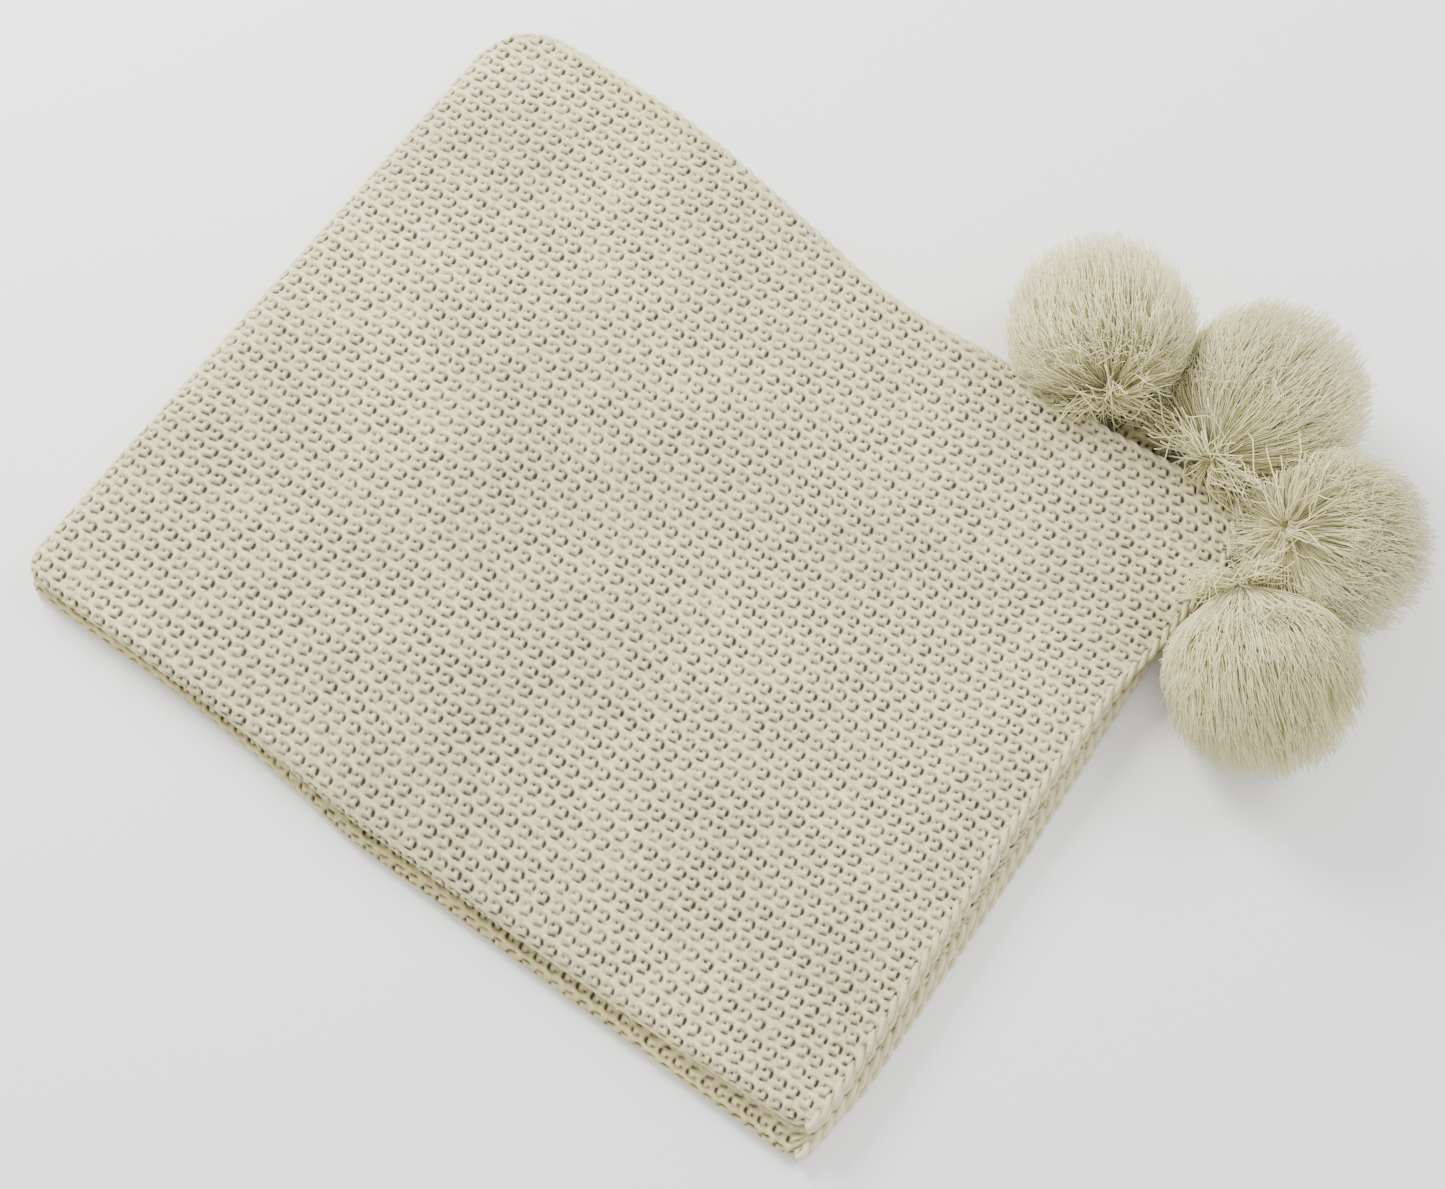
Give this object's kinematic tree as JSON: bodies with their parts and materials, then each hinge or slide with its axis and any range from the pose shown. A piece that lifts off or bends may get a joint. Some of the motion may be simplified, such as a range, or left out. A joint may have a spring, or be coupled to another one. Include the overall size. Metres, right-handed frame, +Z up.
{
  "type": "folded knitted throw",
  "caption": "Chunky moss-stitch throw folded in half twice into a flat pad that opens like a book, with a yarn pom-pom tied to each corner.",
  "frame": {"origin": "centre of the whole outline, pom-poms included, on the surface that the throw lies on", "axes": "+X from the left fold towards the open side edge, +Y from the front folds towards the open back edge, +Z up through the stack"},
  "size_m": [0.705, 0.6236, 0.1119],
  "materials": {
    "knit_yarn": "chunky moss-stitch knit in matt cream cotton-acrylic yarn",
    "edging_yarn": "chain-stitch edging of the same cream yarn",
    "pompom_yarn": "fine cut cream yarn, brushed and slightly silky, olive in its depths",
    "binding_yarn": "tightly wound cream yarn"
  },
  "bodies": {
    "lower_half": {"layer_1_panel": "knit_yarn", "layer_1_side_edging": "edging_yarn", "layer_1_end_edging": "edging_yarn", "layer_2_panel": "knit_yarn", "layer_2_side_edging": "edging_yarn", "layer_2_end_edging": "edging_yarn", "layer_1_corner_tab": "knit_yarn", "outer_fold_lower": "knit_yarn", "inner_fold_lower": "knit_yarn", "lower_half_front_fold": "knit_yarn", "pompom_1_corner_knot": "binding_yarn", "pompom_2_corner_knot": "binding_yarn"},
    "upper_half": {"layer_3_panel": "knit_yarn", "layer_3_side_edging": "edging_yarn", "layer_3_end_edging": "edging_yarn", "layer_4_panel": "knit_yarn", "layer_4_side_edging": "edging_yarn", "layer_4_end_edging": "edging_yarn", "outer_fold_upper": "knit_yarn", "inner_fold_upper": "knit_yarn", "upper_half_front_fold": "knit_yarn", "pompom_3_corner_knot": "binding_yarn", "pompom_4_corner_knot": "binding_yarn"},
    "pompom_1_tail_body": {"pompom_1_tail": "binding_yarn"},
    "pompom_1_ball_body": {"pompom_1_yarn_ball": "pompom_yarn", "pompom_1_waist_tie": "binding_yarn"},
    "pompom_2_tail_body": {"pompom_2_tail": "binding_yarn"},
    "pompom_2_ball_body": {"pompom_2_yarn_ball": "pompom_yarn", "pompom_2_waist_tie": "binding_yarn"},
    "pompom_3_tail_body": {"pompom_3_tail": "binding_yarn"},
    "pompom_3_ball_body": {"pompom_3_yarn_ball": "pompom_yarn", "pompom_3_waist_tie": "binding_yarn"},
    "pompom_4_tail_body": {"pompom_4_tail": "binding_yarn"},
    "pompom_4_ball_body": {"pompom_4_yarn_ball": "pompom_yarn", "pompom_4_waist_tie": "binding_yarn"}
  },
  "joints": [
    {"name": "throw_fold", "type": "hinge", "parent": "lower_half", "child": "upper_half", "pos_m": [-0.35353, 0, 0.01445], "axis": [0, -1, 0], "range_deg": [0, 165]},
    {"name": "pompom_1_lift", "type": "hinge", "parent": "lower_half", "child": "pompom_1_tail_body", "pos_m": [0.14022, 0.19912, 0.005], "axis": [0.5973, 0.802, 0], "range_deg": [0, 25]},
    {"name": "pompom_1_swivel", "type": "hinge", "parent": "pompom_1_tail_body", "child": "pompom_1_ball_body", "pos_m": [0.14022, 0.19912, 0.005], "axis": [-0.6387, 0.4757, 0.6048], "range_deg": [-90, 90]},
    {"name": "pompom_2_lift", "type": "hinge", "parent": "lower_half", "child": "pompom_2_tail_body", "pos_m": [0.24422, 0.15412, 0.011], "axis": [-0.7952, -0.6063, 0], "range_deg": [0, 10]},
    {"name": "pompom_2_swivel", "type": "hinge", "parent": "pompom_2_tail_body", "child": "pompom_2_ball_body", "pos_m": [0.24422, 0.15412, 0.011], "axis": [0.5663, -0.7427, 0.3574], "range_deg": [-90, 90]},
    {"name": "pompom_3_lift", "type": "hinge", "parent": "upper_half", "child": "pompom_3_tail_body", "pos_m": [0.20422, 0.19712, 0.018], "axis": [0.9958, -0.0919, 0], "range_deg": [0, 18]},
    {"name": "pompom_3_swivel", "type": "hinge", "parent": "pompom_3_tail_body", "child": "pompom_3_ball_body", "pos_m": [0.20422, 0.19712, 0.018], "axis": [0.0828, 0.8968, 0.4346], "range_deg": [-90, 90]},
    {"name": "pompom_4_lift", "type": "hinge", "parent": "upper_half", "child": "pompom_4_tail_body", "pos_m": [0.23622, 0.18612, 0.0337], "axis": [-0.0874, -0.9962, 0], "range_deg": [0, 25]},
    {"name": "pompom_4_swivel", "type": "hinge", "parent": "pompom_4_tail_body", "child": "pompom_4_ball_body", "pos_m": [0.23622, 0.18612, 0.0337], "axis": [0.8675, -0.0761, 0.4916], "range_deg": [-90, 90]}
  ]
}
